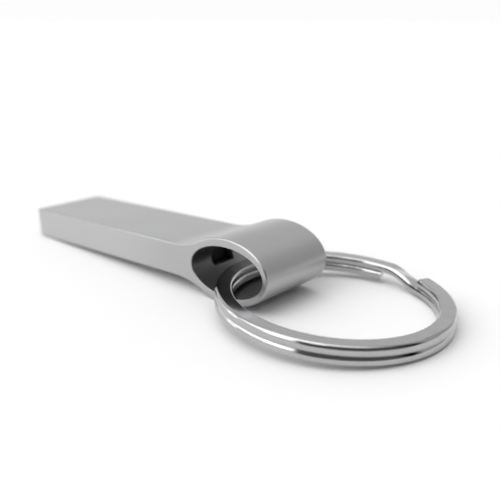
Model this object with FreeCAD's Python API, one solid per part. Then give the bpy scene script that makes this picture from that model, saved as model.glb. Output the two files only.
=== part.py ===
import FreeCAD, Part
import math
import os

# A USB flash drive: a one-piece cast metal bar whose front end is the USB-A plug itself and whose
# tail widens into an oval eye, with a split key ring through the eye.
# Millimetres. Origin: centre of the plug mouth. +X runs along the bar to the ring, +Z is up.

Vector = FreeCAD.Vector

# ---- driving sizes -------------------------------------------------------------------------------
PLUG_WIDTH = 12.0            # USB-A plug, across Y
PLUG_HEIGHT = 4.5            # USB-A plug, along Z
WALL = 0.45                  # metal around the electronics
FIT_GAP = 0.05               # play between the electronics tray and the metal
TONGUE_SPACE = 1.95          # free height above the contacts, taken by the socket's own tongue

EYE_CENTRE_X = 43.05
EYE_OUTER = (6.83, 4.37)     # half length and half height of the oval
EYE_HOLE = (6.13, 3.24)
EYE_HOLE_X = 43.0
NECK_RADIUS = 13.5           # hollow curve between the bar and the oval
EDGE_ROUND = 0.22
RIM_ROUND = 0.1              # inner rims of the eye
LIP_ROUND = 0.15             # outer edge of the plug mouth

CAVITY_DEPTH = 34.8
WINDOW_WIDTH = 4.1           # rear window between the cavity and the eye
WINDOW_HEIGHT = 2.4
WINDOW_MIDDLE_Y = -0.3
WINDOW_ROUND = 0.35          # corner radius

RING_OUTER = 14.60           # outermost radius
WIRE_WIDTH = 2.16            # across the ring's radius
WIRE_HEIGHT = 1.13           # along the ring's axis
OUTER_SIDE = 1.1             # radius of the wire's rounded outer side
OUTER_DROP = 0.15            # how far its widest point lies below the wire's middle
EXPOSED_ROUND = 0.32         # radius between that side and the face that looks away from the other turn
FACING_ROUND = 0.15          # the same on the face that looks at the other turn
INNER_SIDE = 0.9             # radius of the rounded inner side
INNER_ROUND = 0.3            # radius between that side and the flat top or bottom
COIL_PITCH = 1.16
RING_CENTRE = Vector(54.59, 1.15, -1.86)   # centre of the ring's upper face
RING_NOSE_DOWN = 5.67        # degrees about Y
RING_LEAN = -1.33            # degrees about X
UPPER_END = 66.9             # degrees round the ring where the upper turn is cut off, at its inner edge
UPPER_SLANT = 2.0            # how far that cut is turned from square, so the outer edge is longer
LOWER_END = 95.3
LOWER_SLANT = 12.0
CRIMP_START = 91.5
CRIMP_END = 70.0
CRIMP_ROLL = 15.0            # degrees the wire rolls outward halfway along the crimp

HALF_WIDTH = PLUG_WIDTH / 2
HALF_HEIGHT = PLUG_HEIGHT / 2
INNER_HALF_WIDTH = HALF_WIDTH - WALL
INNER_HALF_HEIGHT = HALF_HEIGHT - WALL

# heights inside the cavity, from the bottom up
TRAY_BOTTOM = -INNER_HALF_HEIGHT + FIT_GAP
BOARD_THICKNESS = 0.6
CONTACT_THICKNESS = 0.06
BOARD_TOP = INNER_HALF_HEIGHT - TONGUE_SPACE - CONTACT_THICKNESS
BOARD_BOTTOM = BOARD_TOP - BOARD_THICKNESS
TRAY_HALF_WIDTH = INNER_HALF_WIDTH - FIT_GAP
BOARD_HALF_WIDTH = TRAY_HALF_WIDTH - 0.75

MOUTH_SETBACK = 0.5          # the tray starts this far behind the lip
SOCKET_DEPTH = 12.2          # how far the socket's tongue reaches in
TRAY_END = 34.0
LATCH_END = 35.9             # the latch's tongue stops inside the window
BOARD_START = MOUTH_SETBACK + 0.5
BOARD_END = 32.8


def box(x0, x1, half_width, z0, z1, middle_y=0.0):
    """A block given by its ends along X and Z, centred on a line across Y."""
    corner = Vector(x0, middle_y - half_width, z0)
    return Part.makeBox(x1 - x0, 2 * half_width, z1 - z0, corner)


def window_block(x0, x1, smaller):
    """A block with the window's rounded section, made smaller by this much on every side."""
    half_height = WINDOW_HEIGHT / 2 - smaller
    block = box(x0, x1, WINDOW_WIDTH / 2 - smaller, -half_height, half_height, WINDOW_MIDDLE_Y)
    long_edges = [e for e in block.Edges if e.BoundBox.XLength > 0.01]
    return block.makeFillet(WINDOW_ROUND - smaller, long_edges)


def oval(centre_x, half_sizes):
    """The ellipse of the eye in the XZ plane."""
    along = Vector(centre_x + half_sizes[0], 0, 0)
    up = Vector(centre_x, 0, half_sizes[1])
    return Part.Ellipse(along, up, Vector(centre_x, 0, 0))


def neck_arc_centre(angle):
    """Centre of the neck curve when it touches the oval at this angle."""
    length, height = EYE_OUTER
    slope = Vector(math.cos(angle) / length, 0, math.sin(angle) / height)
    slope.normalize()
    touch = Vector(EYE_CENTRE_X + length * math.cos(angle), 0, height * math.sin(angle))
    return touch, touch + slope * NECK_RADIUS


def neck():
    """Where the hollow neck curve meets the oval and the bar, and its centre."""
    low, high = math.radians(95), math.radians(175)
    for _ in range(60):
        middle = (low + high) / 2
        _, centre = neck_arc_centre(middle)
        if centre.z > HALF_HEIGHT + NECK_RADIUS:
            low = middle
        else:
            high = middle
    touch, centre = neck_arc_centre(low)
    return low, touch, centre


def mirrored(point):
    return Vector(point.x, point.y, -point.z)


def side_outline():
    """Closed outline of the whole casting seen from the side."""
    angle, touch, centre = neck()
    start = Vector(centre.x, 0, HALF_HEIGHT)
    towards = (start + touch) * 0.5 - centre
    towards.normalize()
    bulge = centre + towards * NECK_RADIUS
    top_front = Vector(0, 0, HALF_HEIGHT)
    end = Part.ArcOfEllipse(oval(EYE_CENTRE_X, EYE_OUTER), -angle, angle)
    edges = [
        Part.makeLine(mirrored(top_front), mirrored(start)),
        Part.Arc(mirrored(start), mirrored(bulge), mirrored(touch)).toShape(),
        end.toShape(),
        Part.Arc(touch, bulge, start).toShape(),
        Part.makeLine(start, top_front),
        Part.makeLine(top_front, mirrored(top_front)),
    ]
    return Part.Wire(Part.__sortEdges__(edges))


def extruded(wire, half_width):
    """A flat outline in the XZ plane pulled out to both sides of it."""
    solid = Part.Face(wire).extrude(Vector(0, 2 * half_width, 0))
    solid.translate(Vector(0, -half_width, 0))
    return solid


def outline_edges(solid, y):
    """The edges that lie wholly in the plane at this Y."""
    flat = []
    for edge in solid.Edges:
        bounds = edge.BoundBox
        if abs(bounds.YMin - y) < 1e-4 and abs(bounds.YMax - y) < 1e-4:
            flat.append(edge)
    return flat


def casting():
    """The metal body: plug, bar and eye in one piece, hollow for the electronics."""
    solid = extruded(side_outline(), HALF_WIDTH)
    sharp = outline_edges(solid, HALF_WIDTH) + outline_edges(solid, -HALF_WIDTH)
    solid = solid.makeFillet(EDGE_ROUND, sharp)
    lip = [e for e in solid.Edges if e.BoundBox.XMax < 1e-4]
    solid = solid.makeFillet(LIP_ROUND, lip)

    hole = Part.Wire([oval(EYE_HOLE_X, EYE_HOLE).toShape()])
    solid = solid.cut(extruded(hole, HALF_WIDTH + 1))
    rims = []
    for edge in outline_edges(solid, HALF_WIDTH) + outline_edges(solid, -HALF_WIDTH):
        bounds = edge.BoundBox
        if bounds.XLength < 2 * EYE_HOLE[0] + 0.1 and bounds.XMin > EYE_HOLE_X - EYE_HOLE[0] - 0.1:
            if bounds.XMax < EYE_HOLE_X + EYE_HOLE[0] + 0.05:
                rims.append(edge)
    solid = solid.makeFillet(RIM_ROUND, rims)

    cavity = box(-1, CAVITY_DEPTH, INNER_HALF_WIDTH, -INNER_HALF_HEIGHT, INNER_HALF_HEIGHT)
    solid = solid.cut(cavity)

    return solid.cut(window_block(CAVITY_DEPTH - 1, EYE_HOLE_X - 3, 0.0))


def tray():
    """Black plastic tray that carries the board; its front is the underside of the tongue."""
    base = box(MOUTH_SETBACK, TRAY_END, TRAY_HALF_WIDTH, TRAY_BOTTOM, BOARD_BOTTOM)
    nose = box(MOUTH_SETBACK, BOARD_START, TRAY_HALF_WIDTH, BOARD_BOTTOM, BOARD_TOP)
    rail_width = (TRAY_HALF_WIDTH - BOARD_HALF_WIDTH) / 2
    rail_middle = TRAY_HALF_WIDTH - rail_width
    solid = base.fuse(nose)
    for side in (-1, 1):
        rail = box(BOARD_START, TRAY_END, rail_width, BOARD_BOTTOM, BOARD_TOP, side * rail_middle)
        solid = solid.fuse(rail)
    end_wall = box(BOARD_END + 0.1, TRAY_END, BOARD_HALF_WIDTH, BOARD_BOTTOM, BOARD_TOP)
    return solid.fuse(end_wall).removeSplitter()


def board():
    """Circuit board lying in the tray."""
    return box(BOARD_START, BOARD_END, BOARD_HALF_WIDTH, BOARD_BOTTOM, BOARD_TOP)


# the four contacts of a USB-A plug: the two outer ones are longer and wider apart
CONTACT_WIDTH = 1.0
CONTACTS = {
    "contact_ground": (3.5, 1.4, 8.9),
    "contact_data_plus": (1.0, 2.4, 8.9),
    "contact_data_minus": (-1.0, 2.4, 8.9),
    "contact_power": (-3.5, 1.4, 8.9),
}


def contact(middle_y, start, end):
    """One gold-plated finger on top of the board's front end."""
    pad = box(start, end, CONTACT_WIDTH / 2, BOARD_TOP, BOARD_TOP + CONTACT_THICKNESS, middle_y)
    uprights = [e for e in pad.Edges if abs(e.Vertexes[0].Z - e.Vertexes[1].Z) > 0.01]
    return pad.makeFillet(0.2, uprights)


def chip(x0, x1, middle_y, half_width, height, edge=0.08):
    """A moulded package standing on the board, its top edges slightly eased."""
    body = box(x0, x1, half_width, BOARD_TOP, BOARD_TOP + height, middle_y)
    top = [e for e in body.Edges if min(v.Z for v in e.Vertexes) > BOARD_TOP + height - 0.01]
    return body.makeChamfer(edge, top)


def memory_chip():
    return chip(15.7, 26.7, 0.0, 4.4, 1.0)


def controller_chip():
    return chip(27.2, 32.2, -1.95, 2.5, 0.8)


def crystal():
    """Metal-lidded crystal: a ceramic base with a smaller lid."""
    base = box(27.3, 29.8, 1.6, BOARD_TOP, BOARD_TOP + 0.35, 2.8)
    lid = box(27.45, 29.65, 1.45, BOARD_TOP + 0.35, BOARD_TOP + 0.75, 2.8)
    return base.fuse(lid).removeSplitter()


def two_ended(x, y, length, half_width, height):
    """A small two-terminal part: body with slightly fatter metal ends."""
    body = box(x + 0.15, x + length - 0.15, half_width - 0.02, BOARD_TOP, BOARD_TOP + height - 0.02, y)
    first = box(x, x + 0.2, half_width, BOARD_TOP, BOARD_TOP + height, y)
    last = box(x + length - 0.2, x + length, half_width, BOARD_TOP, BOARD_TOP + height, y)
    return body.fuse([first, last]).removeSplitter()


def capacitors():
    """Four ceramic capacitors, one between each pair of neighbours."""
    places = [(12.8, -4.0), (12.8, 4.0), (30.3, 1.8), (30.3, 4.0)]
    return Part.makeCompound([two_ended(x, y, 1.0, 0.25, 0.5) for x, y in places])


def resistors():
    """Three thin resistors beside the crystal and behind the data contacts."""
    places = [(12.8, 2.1), (12.8, 3.0), (30.3, 2.9)]
    return Part.makeCompound([two_ended(x, y, 1.0, 0.25, 0.32) for x, y in places])


def ferrite_bead():
    """Supply filter next to the power contact."""
    return two_ended(12.8, -2.8, 1.2, 0.35, 0.6)


def surge_clamp():
    """Small six-legged package that protects the data lines."""
    body = chip(13.2, 14.8, 0.0, 1.45, 0.9, 0.06)
    legs = []
    for y in (-0.95, 0.0, 0.95):
        legs.append(box(12.7, 13.3, 0.17, BOARD_TOP, BOARD_TOP + 0.14, y))
        legs.append(box(14.7, 15.3, 0.17, BOARD_TOP, BOARD_TOP + 0.14, y))
    return body.fuse(legs).removeSplitter()


def cover():
    """Plastic cover over the parts: stops the socket's tongue and presses the tray down."""
    top = INNER_HALF_HEIGHT - FIT_GAP
    underside = BOARD_TOP + 1.1
    rail_middle = (TRAY_HALF_WIDTH + BOARD_HALF_WIDTH) / 2
    rail_half = (TRAY_HALF_WIDTH - BOARD_HALF_WIDTH) / 2
    roof = box(SOCKET_DEPTH, TRAY_END, TRAY_HALF_WIDTH, underside, top)
    solid = roof
    for side in (-1, 1):
        solid = solid.fuse(box(SOCKET_DEPTH, TRAY_END, rail_half, BOARD_TOP, underside, side * rail_middle))
    end_wall = box(BOARD_END + 0.1, TRAY_END, BOARD_HALF_WIDTH, BOARD_TOP, underside)
    return solid.fuse(end_wall).removeSplitter()


def rear_latch():
    """Plastic tail behind the rear window that snaps into it and locks the tray."""
    block = box(TRAY_END, CAVITY_DEPTH - 0.05, 3.4, -1.6, 1.6)
    tongue = window_block(CAVITY_DEPTH - 0.05, LATCH_END, 0.1)
    return block.fuse(tongue).removeSplitter()


def adhesive_pad():
    """Thin pad between the tray and the metal floor."""
    return box(13.0, 31.0, 4.0, -INNER_HALF_HEIGHT, TRAY_BOTTOM)


def side_profile(edge, inward, top, side_radius, top_round, bottom_round, drop=0.0):
    """Rounded side of the wire; inward is -1 or 1 along X, and drop lowers its widest point."""
    widest = top - WIRE_HEIGHT / 2 - drop

    def corner(up, corner_radius):
        reach = side_radius - corner_radius
        rise = WIRE_HEIGHT / 2 - corner_radius + up * drop
        lean = math.asin(rise / reach)
        centre_x = edge + inward * (side_radius - reach * math.cos(lean))
        centre = Vector(centre_x, 0, widest + up * rise)
        steep = math.radians(90)
        points = []
        for angle in (steep, (steep + lean) / 2, lean):
            direction = Vector(-inward * math.cos(angle), 0, up * math.sin(angle))
            points.append(centre + direction * corner_radius)
        return points

    upper = corner(1, top_round)
    lower = corner(-1, bottom_round)
    side = Part.Arc(upper[2], Vector(edge, 0, widest), lower[2])
    return [Part.Arc(*upper).toShape(), side.toShape(), Part.Arc(*lower).toShape()], upper[0], lower[0]


def wire_section(angle, drop, roll=0.0):
    """Section of the flattened ring wire at an angle, lowered by drop and rolled outward."""
    inner_edge = RING_OUTER - WIRE_WIDTH
    lower_share = drop / COIL_PITCH
    change = (EXPOSED_ROUND - FACING_ROUND) * lower_share
    rounds = (EXPOSED_ROUND - change, FACING_ROUND + change)
    outer_side = side_profile(RING_OUTER, -1, -drop, OUTER_SIDE, *rounds, OUTER_DROP)
    inner_side = side_profile(inner_edge, 1, -drop, INNER_SIDE, INNER_ROUND, INNER_ROUND)
    outer, outer_top, outer_bottom = outer_side
    inner, inner_top, inner_bottom = inner_side
    flats = [Part.makeLine(inner_top, outer_top), Part.makeLine(inner_bottom, outer_bottom)]
    wire = Part.Wire(Part.__sortEdges__(outer + inner + flats))
    core = Vector(RING_OUTER - WIRE_WIDTH / 2, 0, -drop - WIRE_HEIGHT / 2)
    wire.rotate(core, Vector(0, 1, 0), roll)
    wire.rotate(Vector(0, 0, 0), Vector(0, 0, 1), angle)
    return wire


def turn(start, sweep, drop):
    """Part of one flat turn of the ring."""
    face = Part.Face(wire_section(start, drop))
    return face.revolve(Vector(0, 0, 0), Vector(0, 0, 1), sweep)


def crimp():
    """The short bend that carries the wire from the upper turn down to the lower one."""
    steps = 12
    sections = []
    for i in range(steps + 1):
        share = i / steps
        ease = share * share * (3 - 2 * share)
        angle = CRIMP_START + (CRIMP_END - CRIMP_START) * share
        roll = CRIMP_ROLL * math.sin(math.pi * share) ** 2
        sections.append(wire_section(angle, COIL_PITCH * ease, roll))
    return Part.makeLoft(sections, True, False)


def cut_off(angle, slant, drop, onward):
    """Block that slices a turn's end at a slant; onward is 1 if the waste lies at larger angles."""
    inner = RING_OUTER - WIRE_WIDTH
    size = 4.0
    low = Vector(-size / 2, 0 if onward > 0 else -size, -drop - WIRE_HEIGHT - 0.01)
    block = Part.makeBox(size * 1.5, size, WIRE_HEIGHT + 0.02, low)
    block.rotate(Vector(0, 0, 0), Vector(0, 0, 1), slant)
    block.translate(Vector(inner, 0, 0))
    block.rotate(Vector(0, 0, 0), Vector(0, 0, 1), angle)
    return block


def split_ring():
    """Two flat turns of wire joined by the crimp, lying through the eye."""
    spare = 6.0
    upper_start = UPPER_END + spare
    upper = turn(upper_start, -(360 + upper_start - CRIMP_START), 0.0)
    upper = upper.cut(cut_off(UPPER_END, UPPER_SLANT, 0.0, 1))
    lower_end = LOWER_END - spare
    lower = turn(CRIMP_END, -(360 + CRIMP_END - lower_end), COIL_PITCH)
    lower = lower.cut(cut_off(LOWER_END, LOWER_SLANT, COIL_PITCH, -1))
    solid = upper.fuse([crimp(), lower])
    solid.rotate(Vector(0, 0, 0), Vector(0, 1, 0), RING_NOSE_DOWN)
    solid.rotate(Vector(0, 0, 0), Vector(1, 0, 0), RING_LEAN)
    solid.translate(RING_CENTRE)
    return solid


def main():
    os.makedirs("parts", exist_ok=True)
    shapes = {
        "metal_body": casting(),
        "electronics_tray": tray(),
        "circuit_board": board(),
        "memory_chip": memory_chip(),
        "controller_chip": controller_chip(),
        "crystal": crystal(),
        "capacitors": capacitors(),
        "resistors": resistors(),
        "ferrite_bead": ferrite_bead(),
        "surge_clamp": surge_clamp(),
        "electronics_cover": cover(),
        "rear_latch": rear_latch(),
        "adhesive_pad": adhesive_pad(),
        "split_ring": split_ring(),
    }
    for name, placing in CONTACTS.items():
        shapes[name] = contact(*placing)
    for name, shape in shapes.items():
        shape.exportStep("parts/" + name + ".step")
        print(name, "valid", shape.isValid(), "solids", len(shape.Solids), "mm3", round(shape.Volume, 3))


main()
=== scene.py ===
import math
from collections import namedtuple

import bpy
from mathutils import Matrix, Vector

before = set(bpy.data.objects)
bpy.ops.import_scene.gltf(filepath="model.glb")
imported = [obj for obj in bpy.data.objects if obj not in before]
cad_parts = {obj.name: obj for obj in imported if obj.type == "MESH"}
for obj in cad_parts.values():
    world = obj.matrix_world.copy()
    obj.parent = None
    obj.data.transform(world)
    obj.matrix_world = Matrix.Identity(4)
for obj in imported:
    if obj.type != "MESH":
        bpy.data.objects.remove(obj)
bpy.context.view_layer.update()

# A satin metal USB flash drive with a split ring, lying on a white table. Everything is in metres, in the
# frame of the CAD model: the origin is the centre of the plug's mouth, +X runs along the bar to the ring,
# Y across the bar, and +Z up. Every piece is a CAD node; this script adds finishes, light and a view.

MM = 0.001

# ---- view ----------------------------------------------------------------------------------------
CAMERA_PLACE = Vector((99.21, -62.06, 26.88)) * MM
CAMERA_FORWARD = Vector((-0.6498, 0.7026, -0.2901))
CAMERA_ROLL = math.radians(-1.79)
CAMERA_LENS = 48.42                            # focal length for a sensor of SENSOR_WIDTH, both in mm
SENSOR_WIDTH = 36.0
CLIP_START = 1 * MM
CLIP_END = 100.0
FOCUS_POINT = Vector((50.0, -7.6, 0.0)) * MM   # beside the near rim of the eye
APERTURE = 28.0

# ---- places on the object that the finishes need -------------------------------------------------
BAR_HALF_WIDTH = 6.0 * MM
BAR_HALF_HEIGHT = 2.25 * MM
EDGE_ROUND = 0.22 * MM
EYE_X = 43.0 * MM
EYE_HALF_LENGTH = 6.13 * MM
EYE_HALF_HEIGHT = 3.24 * MM
RING_MIDDLE = Vector((54.59, 1.15, -1.86)) * MM

# ---- table: the drive lies on its mouth's lower edge and its eye, so the table isn't quite level ---
FLOOR_UNDER_MOUTH = -BAR_HALF_HEIGHT
FLOOR_SLOPE = -0.04996                         # rise per metre along +X
FLOOR_SIZE = 40.0

# ---- metal finishes, with light and shade painted into the body's colour -------------------------
SATIN_DARK = (0.43, 0.43, 0.434)
SATIN_LIGHT = (0.46, 0.46, 0.464)
SATIN_ROUGHNESS = (0.35, 0.41)
# painted light: a lighter colour on the bar's upright side faces, fading out between the two places below,
# stands in for the brighter reflection they catch
SIDE_PAINTED_LIGHT = (0.505, 0.505, 0.508)
SIDE_FADE_START = 20 * MM
SIDE_FADE_END = 36 * MM
# painted shade: a darker colour on the bar's rounded long edge tones down the bright line that reflections
# put there; the added roughness below spreads that line too
EDGE_PAINTED_SHADE = (0.385, 0.385, 0.388)
EDGE_ROUGHNESS = 0.16                          # added to the plating's own roughness
EDGE_FADE_START = 16 * MM
EDGE_FADE_END = 32 * MM
# painted shade: the wall of the eye's hole is darkened, standing in for the shade that falls inside it
BORE_PAINTED_SHADE = (0.30, 0.30, 0.302)
BORE_ROUGHNESS = 0.02                          # added to the plating's own roughness
BORE_BLEND = (1.01, 1.06)                      # fades out just past the hole's outline, which is at 1
WIRE_DARK = (0.43, 0.43, 0.434)
WIRE_LIGHT = (0.47, 0.47, 0.474)
WIRE_ROUGHNESS = (0.08, 0.16)
WIRE_DRAWN_LENGTH = 0.3 * MM                   # how far the grain moves on per radian round the ring
GOLD_DARK = (0.80, 0.56, 0.22)
GOLD_LIGHT = (0.90, 0.68, 0.32)
GOLD_ROUGHNESS = (0.16, 0.32)

# ---- other finishes ------------------------------------------------------------------------------
BOARD_DARK = (0.86, 0.86, 0.86)
BOARD_LIGHT = (0.88, 0.88, 0.88)
BOARD_ROUGHNESS = 0.6
BOARD_SPECULAR = 0.1
NOISE_LOW = 0.3                                # a noise value is nearly always between these two
NOISE_HIGH = 0.7

# The room, as soft-edged glowing areas round the horizon. Angles are in degrees; azimuth 0 is +X, 90 is +Y.
Area = namedtuple("Area", "azimuth half_width lowest highest softness brightness")
ROOM = {
    "left_corner": Area(204, 7, -5, 28, 3, 1.5),
    "window_far_half": Area(228, 19, 18, 40, 3, 2.6),
    "window_near_half": Area(260, 15, 16, 40, 3, 2.7),
    "window_top": Area(259, 47, 40, 66, 4, 2.7),
    "window_sill": Area(241, 34, 8, 18, 3, 1.15),
    "below_window": Area(241, 38, -5, 8, 3, 0.8),
    "backdrop": Area(140, 62, -5, 15, 5, 1.28),
    "far_wall": Area(140, 62, 15, 62, 6, 0.78),
    "right_backdrop": Area(54, 26, -5, 14, 5, 0.54),
    "right_wall": Area(54, 26, 14, 62, 6, 0.56),
    "dark_side": Area(324, 48, -5, 42, 4, 0.12),
    "right_ceiling": Area(343, 37, 42, 65, 5, 1.2),
    "ceiling": Area(0, 181, 65, 95, 8, 1.78),
}
SEEN_BACKDROP = 0.98                           # what the camera sees behind the table, wherever it looks


# ---- node helpers --------------------------------------------------------------------------------
def new_material(name):
    """A node material with one Principled shader; returns the material, its tree and the shader."""
    material = bpy.data.materials.new(name)
    material.use_nodes = True
    tree = material.node_tree
    tree.nodes.clear()
    output = tree.nodes.new("ShaderNodeOutputMaterial")
    shader = tree.nodes.new("ShaderNodeBsdfPrincipled")
    tree.links.new(shader.outputs["BSDF"], output.inputs["Surface"])
    return material, tree, shader


def feed(tree, value, socket):
    """Gives a socket a number, a colour or another node's output."""
    if isinstance(value, bpy.types.NodeSocket):
        tree.links.new(value, socket)
    elif isinstance(value, tuple):
        socket.default_value = (*value, 1)
    else:
        socket.default_value = value


def position(tree, stretch=(1, 1, 1)):
    """Object coordinates, optionally stretched for brushed or drawn grain."""
    place = tree.nodes.new("ShaderNodeTexCoord")
    mapping = tree.nodes.new("ShaderNodeMapping")
    mapping.inputs["Scale"].default_value = stretch
    tree.links.new(place.outputs["Object"], mapping.inputs["Vector"])
    return mapping.outputs["Vector"]


def parts_of(tree, vector):
    """The X, Y and Z of a vector."""
    split = tree.nodes.new("ShaderNodeSeparateXYZ")
    tree.links.new(vector, split.inputs["Vector"])
    return split.outputs["X"], split.outputs["Y"], split.outputs["Z"]


def noise(tree, vector, per_mm, detail=4.0):
    """A noise value; per_mm is how many blotches fit in a millimetre."""
    node = tree.nodes.new("ShaderNodeTexNoise")
    node.inputs["Scale"].default_value = per_mm / MM
    node.inputs["Detail"].default_value = detail
    node.inputs["Roughness"].default_value = 0.55
    tree.links.new(vector, node.inputs["Vector"])
    return node.outputs["Fac"]


def map_range(tree, value, start, end, low, high, easing="LINEAR"):
    """Takes a value from low to high while it goes from start to end."""
    node = tree.nodes.new("ShaderNodeMapRange")
    node.interpolation_type = easing
    node.inputs["From Min"].default_value = start
    node.inputs["From Max"].default_value = end
    node.inputs["To Min"].default_value = low
    node.inputs["To Max"].default_value = high
    tree.links.new(value, node.inputs["Value"])
    return node.outputs["Result"]


def spread(tree, value, low, high):
    """Spreads a noise value over a range."""
    return map_range(tree, value, NOISE_LOW, NOISE_HIGH, low, high)


def smooth_step(tree, value, start, end, low, high):
    """Eases a value from low to high between start and end."""
    return map_range(tree, value, start, end, low, high, "SMOOTHSTEP")


def maths(tree, operation, first, second=None):
    """One arithmetic step; each operand is a number or another node's output."""
    node = tree.nodes.new("ShaderNodeMath")
    node.operation = operation
    feed(tree, first, node.inputs[0])
    if second is not None:
        feed(tree, second, node.inputs[1])
    return node.outputs["Value"]


def blend(tree, share, first, second):
    """Blends from the first colour to the second; each is a colour or another node's output."""
    node = tree.nodes.new("ShaderNodeMix")
    node.data_type = "RGBA"
    feed(tree, share, node.inputs["Factor"])
    feed(tree, first, node.inputs["A"])
    feed(tree, second, node.inputs["B"])
    return node.outputs["Result"]


def add_bump(tree, shader, height, depth_mm):
    """Small dents and ridges, as deep as depth_mm."""
    node = tree.nodes.new("ShaderNodeBump")
    node.inputs["Distance"].default_value = depth_mm * MM
    node.inputs["Strength"].default_value = 1.0
    tree.links.new(height, node.inputs["Height"])
    tree.links.new(node.outputs["Normal"], shader.inputs["Normal"])


# ---- masks: 1 on one part of the metal body and 0 elsewhere --------------------------------------
def bar_sides(tree, place):
    """The bar's two upright side faces, fading out before the neck; painted light is laid here."""
    x, y, _ = parts_of(tree, place)
    across = maths(tree, "ABSOLUTE", y)
    side = smooth_step(tree, across, BAR_HALF_WIDTH - EDGE_ROUND / 2, BAR_HALF_WIDTH - EDGE_ROUND / 8, 0, 1)
    front = smooth_step(tree, x, SIDE_FADE_START, SIDE_FADE_END, 1, 0)
    return maths(tree, "MULTIPLY", side, front)


def long_edges(tree, place):
    """Where the bar's rounded long edge gets painted shade and extra roughness, fading out before the neck.
    """
    x, y, z = parts_of(tree, place)
    across = maths(tree, "ABSOLUTE", y)
    upward = maths(tree, "ABSOLUTE", z)
    side = smooth_step(tree, across, BAR_HALF_WIDTH - EDGE_ROUND, BAR_HALF_WIDTH - EDGE_ROUND / 2, 0, 1)
    top = smooth_step(tree, upward, BAR_HALF_HEIGHT - EDGE_ROUND, BAR_HALF_HEIGHT - EDGE_ROUND / 2, 0, 1)
    front = smooth_step(tree, x, EDGE_FADE_START, EDGE_FADE_END, 1, 0)
    return maths(tree, "MULTIPLY", maths(tree, "MULTIPLY", side, top), front)


def inside_eye(tree, place):
    """The wall of the eye's oval hole, where painted shade is laid."""
    x, _, z = parts_of(tree, place)
    along = maths(tree, "DIVIDE", maths(tree, "SUBTRACT", x, EYE_X), EYE_HALF_LENGTH)
    upward = maths(tree, "DIVIDE", z, EYE_HALF_HEIGHT)
    reach = maths(tree, "ADD", maths(tree, "POWER", along, 2.0), maths(tree, "POWER", upward, 2.0))
    return smooth_step(tree, reach, *BORE_BLEND, 1, 0)


# ---- materials -----------------------------------------------------------------------------------
def satin_metal():
    """Blasted plating over a casting, with painted light on the bar's side faces, painted shade on its
    rounded long edge (also made rougher) and painted shade inside the eye.
    """
    material, tree, shader = new_material("satin_metal")
    place = position(tree)
    cloud = noise(tree, place, per_mm=0.12, detail=3.0)
    grain = noise(tree, place, per_mm=9.0, detail=3.0)
    scuffs = noise(tree, position(tree, (0.25, 1, 1)), per_mm=3.0)
    lit_sides = bar_sides(tree, place)
    shaded_edges = long_edges(tree, place)
    bore_shade = inside_eye(tree, place)

    colour = blend(tree, spread(tree, cloud, 0, 1), SATIN_DARK, SATIN_LIGHT)
    # painted light: the side faces are made lighter where they catch more light
    colour = blend(tree, lit_sides, colour, SIDE_PAINTED_LIGHT)
    # painted shade: the rounded long edge is darkened to dim its highlight line
    colour = blend(tree, shaded_edges, colour, EDGE_PAINTED_SHADE)
    # painted shade: the inside of the eye's hole is darkened
    colour = blend(tree, bore_shade, colour, BORE_PAINTED_SHADE)
    rough = spread(tree, scuffs, *SATIN_ROUGHNESS)
    rough = maths(tree, "ADD", rough, maths(tree, "MULTIPLY", shaded_edges, EDGE_ROUGHNESS))
    rough = maths(tree, "ADD", rough, maths(tree, "MULTIPLY", bore_shade, BORE_ROUGHNESS))

    tree.links.new(colour, shader.inputs["Base Color"])
    tree.links.new(rough, shader.inputs["Roughness"])
    shader.inputs["Metallic"].default_value = 1.0
    add_bump(tree, shader, grain, 0.004)
    return material


def ring_steel():
    """Plated drawn wire: fine lines run round the ring."""
    material, tree, shader = new_material("ring_steel")
    place = position(tree)
    lines = noise(tree, round_the_ring(tree, place), per_mm=7.0, detail=3.0)
    cloud = noise(tree, place, per_mm=0.5, detail=3.0)
    colour = blend(tree, spread(tree, cloud, 0, 1), WIRE_DARK, WIRE_LIGHT)
    tree.links.new(colour, shader.inputs["Base Color"])
    tree.links.new(spread(tree, lines, *WIRE_ROUGHNESS), shader.inputs["Roughness"])
    shader.inputs["Metallic"].default_value = 1.0
    add_bump(tree, shader, lines, 0.0015)
    return material


def round_the_ring(tree, place):
    """Coordinates that barely change along the wire: distance from the ring's middle, turn and height."""
    offset = tree.nodes.new("ShaderNodeVectorMath")
    offset.operation = "SUBTRACT"
    offset.inputs[1].default_value = RING_MIDDLE
    tree.links.new(place, offset.inputs[0])
    x, y, z = parts_of(tree, offset.outputs["Vector"])
    radius = maths(tree, "ADD", maths(tree, "POWER", x, 2.0), maths(tree, "POWER", y, 2.0))
    radius = maths(tree, "SQRT", radius)
    turned = maths(tree, "MULTIPLY", maths(tree, "ARCTAN2", y, x), WIRE_DRAWN_LENGTH)
    joined = tree.nodes.new("ShaderNodeCombineXYZ")
    tree.links.new(radius, joined.inputs["X"])
    tree.links.new(turned, joined.inputs["Y"])
    tree.links.new(z, joined.inputs["Z"])
    return joined.outputs["Vector"]


def gold_plating():
    """Gold on the contacts, with fine scratches along the plug from use."""
    material, tree, shader = new_material("gold_plating")
    scratches = noise(tree, position(tree, (1, 6, 6)), per_mm=2.0)
    colour = blend(tree, spread(tree, scratches, 0, 1), GOLD_DARK, GOLD_LIGHT)
    tree.links.new(colour, shader.inputs["Base Color"])
    tree.links.new(spread(tree, scratches, *GOLD_ROUGHNESS), shader.inputs["Roughness"])
    shader.inputs["Metallic"].default_value = 1.0
    add_bump(tree, shader, scratches, 0.003)
    return material


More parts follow.
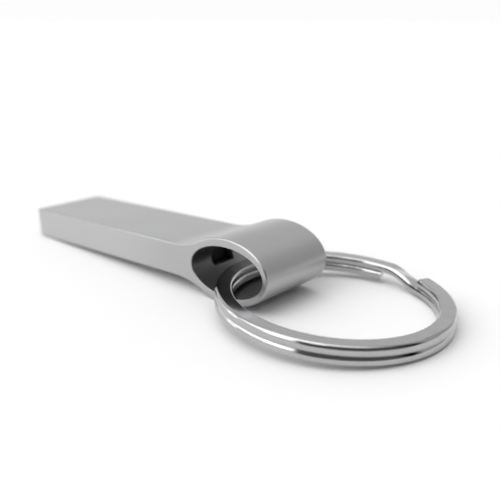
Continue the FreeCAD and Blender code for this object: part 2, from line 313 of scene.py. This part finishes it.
def moulded(name, colour, roughness=0.5):
    """Plastic, resin or ceramic from a mould with a fine spark-eroded texture."""
    material, tree, shader = new_material(name)
    grain = noise(tree, position(tree), per_mm=7.0)
    lighter = tuple(channel * 1.35 + 0.004 for channel in colour)
    tree.links.new(blend(tree, grain, colour, lighter), shader.inputs["Base Color"])
    tree.links.new(spread(tree, grain, roughness - 0.08, roughness + 0.1), shader.inputs["Roughness"])
    add_bump(tree, shader, grain, 0.01)
    return material


def white_board():
    """The table's matt white surface."""
    material, tree, shader = new_material("white_board")
    grain = noise(tree, position(tree), per_mm=0.8)
    tree.links.new(blend(tree, grain, BOARD_DARK, BOARD_LIGHT), shader.inputs["Base Color"])
    shader.inputs["Roughness"].default_value = BOARD_ROUGHNESS
    shader.inputs["Specular IOR Level"].default_value = BOARD_SPECULAR
    return material


def dress_nodes():
    """Gives every CAD node its material."""
    satin = satin_metal()
    gold = gold_plating()
    finishes = {
        "metal_body": satin,
        "split_ring": ring_steel(),
        "electronics_tray": moulded("tray_plastic", (0.02, 0.02, 0.022)),
        "electronics_cover": moulded("cover_plastic", (0.02, 0.02, 0.022)),
        "rear_latch": moulded("latch_plastic", (0.006, 0.006, 0.007), 0.6),
        "circuit_board": moulded("solder_mask", (0.01, 0.06, 0.035), 0.3),
        "memory_chip": moulded("chip_resin", (0.02, 0.02, 0.021), 0.45),
        "controller_chip": moulded("chip_resin_fine", (0.018, 0.018, 0.02), 0.4),
        "surge_clamp": moulded("chip_resin_small", (0.02, 0.02, 0.022), 0.45),
        "crystal": satin,
        "capacitors": moulded("fired_ceramic", (0.3, 0.2, 0.12)),
        "resistors": moulded("glazed_ceramic", (0.03, 0.03, 0.033), 0.35),
        "ferrite_bead": moulded("ferrite", (0.06, 0.06, 0.065)),
        "adhesive_pad": moulded("adhesive_foam", (0.5, 0.5, 0.48), 0.7),
        "contact_power": gold,
        "contact_data_minus": gold,
        "contact_data_plus": gold,
        "contact_ground": gold,
    }
    for name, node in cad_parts.items():
        node.data.materials.clear()
        node.data.materials.append(finishes[name])


# ---- stage ---------------------------------------------------------------------------------------
def add_floor():
    """A large sloping table top under the drive."""
    mesh = bpy.data.meshes.new("floor")
    half = FLOOR_SIZE / 2
    corners = []
    for x, y in ((-half, -half), (half, -half), (half, half), (-half, half)):
        corners.append((x, y, FLOOR_UNDER_MOUTH + FLOOR_SLOPE * x))
    mesh.from_pydata(corners, [], [(0, 1, 2, 3)])
    mesh.materials.append(white_board())
    floor = bpy.data.objects.new("floor", mesh)
    bpy.context.collection.objects.link(floor)


def glow(tree, direction, elevation, area):
    """Brightness that one soft-edged area of the room adds in a direction."""
    turned = tree.nodes.new("ShaderNodeVectorRotate")
    turned.rotation_type = "Z_AXIS"
    turned.inputs["Angle"].default_value = math.radians(-area.azimuth)
    tree.links.new(direction, turned.inputs["Vector"])
    x, y, _ = parts_of(tree, turned.outputs["Vector"])
    sideways = maths(tree, "ABSOLUTE", maths(tree, "ARCTAN2", y, x))
    soft = math.radians(area.softness)
    half_width = math.radians(area.half_width)
    lowest = math.radians(area.lowest)
    highest = math.radians(area.highest)
    across = smooth_step(tree, sideways, half_width - soft, half_width + soft, 1, 0)
    bottom = smooth_step(tree, elevation, lowest - soft, lowest + soft, 0, 1)
    top = smooth_step(tree, elevation, highest - soft, highest + soft, 1, 0)
    share = maths(tree, "MULTIPLY", across, maths(tree, "MULTIPLY", bottom, top))
    return maths(tree, "MULTIPLY", share, area.brightness)


def add_room():
    """A room with a window to the left of the camera and a bright ceiling, behind a plain pale backdrop."""
    world = bpy.data.worlds.new("room")
    bpy.context.scene.world = world
    world.use_nodes = True
    tree = world.node_tree
    direction = tree.nodes.new("ShaderNodeTexCoord").outputs["Generated"]
    _, _, upward = parts_of(tree, direction)
    elevation = maths(tree, "ARCSINE", upward)
    total = 0.0
    for area in ROOM.values():
        total = maths(tree, "ADD", glow(tree, direction, elevation, area), total)
    strength = tree.nodes.new("ShaderNodeMix")
    camera_ray = tree.nodes.new("ShaderNodeLightPath").outputs["Is Camera Ray"]
    feed(tree, camera_ray, strength.inputs["Factor"])
    feed(tree, total, strength.inputs["A"])
    feed(tree, SEEN_BACKDROP, strength.inputs["B"])
    background = tree.nodes["Background"]
    background.inputs["Color"].default_value = (1, 1, 1, 1)
    tree.links.new(strength.outputs["Result"], background.inputs["Strength"])


def add_focus():
    """An empty at the sharpest place, so that the camera can be moved without losing focus."""
    focus = bpy.data.objects.new("focus_point", None)
    focus.location = FOCUS_POINT
    bpy.context.collection.objects.link(focus)
    return focus


def add_camera():
    """The camera, placed and turned to the photograph's view."""
    data = bpy.data.cameras.new("photo_camera")
    data.lens = CAMERA_LENS
    data.sensor_width = SENSOR_WIDTH
    data.clip_start = CLIP_START
    data.clip_end = CLIP_END
    data.dof.use_dof = True
    data.dof.focus_object = add_focus()
    data.dof.aperture_fstop = APERTURE
    camera = bpy.data.objects.new("photo_camera", data)
    turn = CAMERA_FORWARD.to_track_quat("-Z", "Y").to_matrix() @ Matrix.Rotation(CAMERA_ROLL, 3, "Z")
    camera.matrix_world = Matrix.Translation(CAMERA_PLACE) @ turn.to_4x4()
    bpy.context.collection.objects.link(camera)
    bpy.context.scene.camera = camera


dress_nodes()
add_floor()
add_room()
add_camera()
bpy.context.scene.view_settings.view_transform = "Standard"
